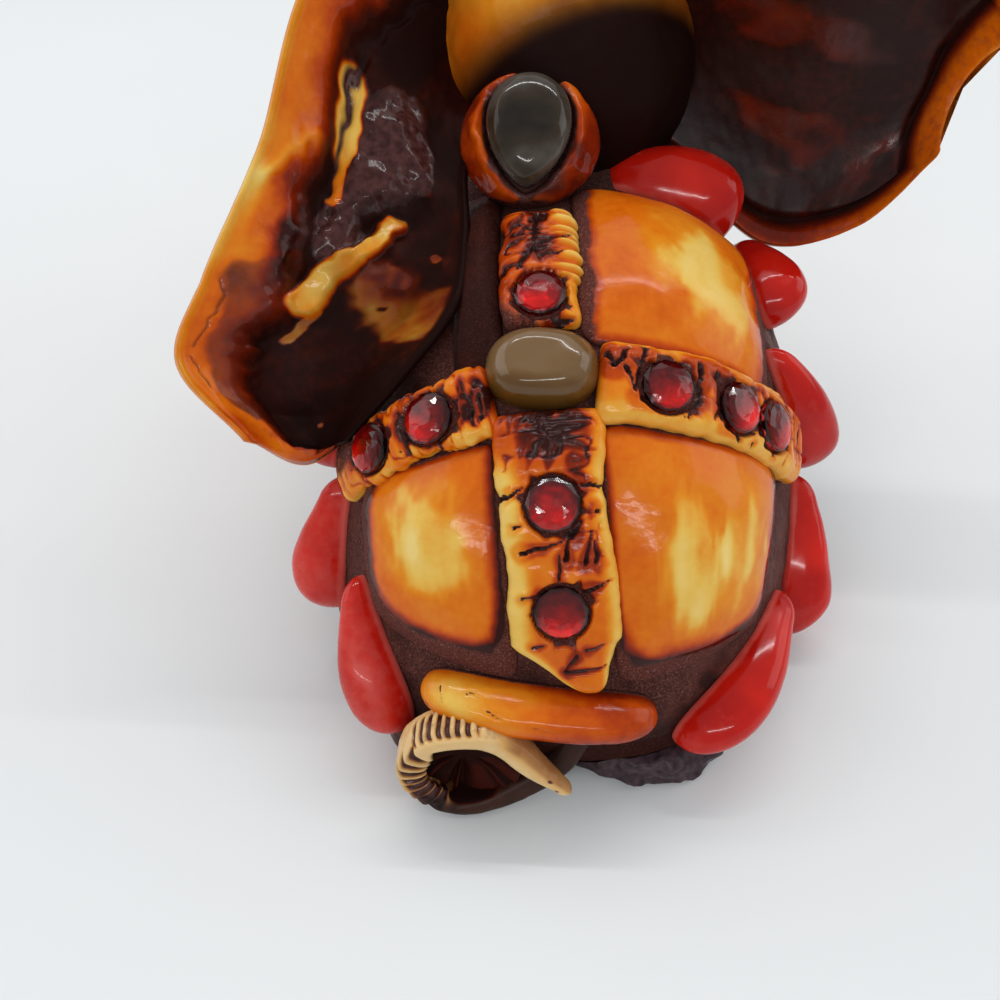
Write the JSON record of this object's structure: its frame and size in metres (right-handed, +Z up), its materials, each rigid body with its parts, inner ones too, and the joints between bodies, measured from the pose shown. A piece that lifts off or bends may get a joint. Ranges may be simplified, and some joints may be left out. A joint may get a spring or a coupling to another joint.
{
  "type": "elephant figurine",
  "caption": "Ornamental elephant figurine with a saddle blanket of clay straps, stained panels, set stones and red drops, swept-back ears and a curled tail; stands free on its feet.",
  "frame": {"origin": "middle of the bounding box's footprint, on the floor plane under the soles", "axes": "+Z up, -Y the way the elephant faces, +X its left side"},
  "size_m": [0.1094, 0.1432, 0.0954],
  "materials": {
    "stained_clay": "lacquered modelling clay, ivory stained amber, orange and brown",
    "dark_clay": "dark brown modelling clay, dusty in the grooves",
    "ivory_clay": "lacquered ivory modelling clay, brown in the creases",
    "red_enamel": "lacquered deep red clay",
    "red_glass": "faceted red glass, foil backed",
    "agate_stone": "tumbled agate, polished",
    "smoky_stone": "smoky droplet stone, polished",
    "dark_bead": "dark glass bead"
  },
  "bodies": {
    "root": {"body": "dark_clay", "left_front_leg": "dark_clay", "right_front_leg": "dark_clay", "left_hind_foot": "dark_clay", "right_hind_foot": "dark_clay", "head": "stained_clay", "trunk": "stained_clay", "left_ear": "stained_clay", "right_ear": "stained_clay", "left_tusk": "ivory_clay", "right_tusk": "ivory_clay", "left_eye": "dark_bead", "right_eye": "dark_bead", "nape_mount": "stained_clay", "nape_stone": "smoky_stone", "saddle_stone": "agate_stone", "rear_strap": "stained_clay", "front_strap": "stained_clay", "right_strap": "stained_clay", "left_strap": "stained_clay", "rear_gem_upper": "red_glass", "rear_gem_lower": "red_glass", "front_gem": "red_glass", "right_gem_inner": "red_glass", "right_gem_middle": "red_glass", "right_gem_outer": "red_glass", "left_gem_inner": "red_glass", "left_gem_outer": "red_glass", "rear_right_panel": "stained_clay", "rear_left_panel": "stained_clay", "front_right_panel": "stained_clay", "front_left_panel": "stained_clay", "hem_roll": "stained_clay", "tail": "ivory_clay", "right_drop_1": "red_enamel", "right_drop_2": "red_enamel", "right_drop_3": "red_enamel", "right_drop_4": "red_enamel", "right_drop_5": "red_enamel", "left_drop_1": "red_enamel", "left_drop_2": "red_enamel", "left_drop_3": "red_enamel", "left_drop_4": "red_enamel", "left_drop_5": "red_enamel"}
  },
  "joints": []
}
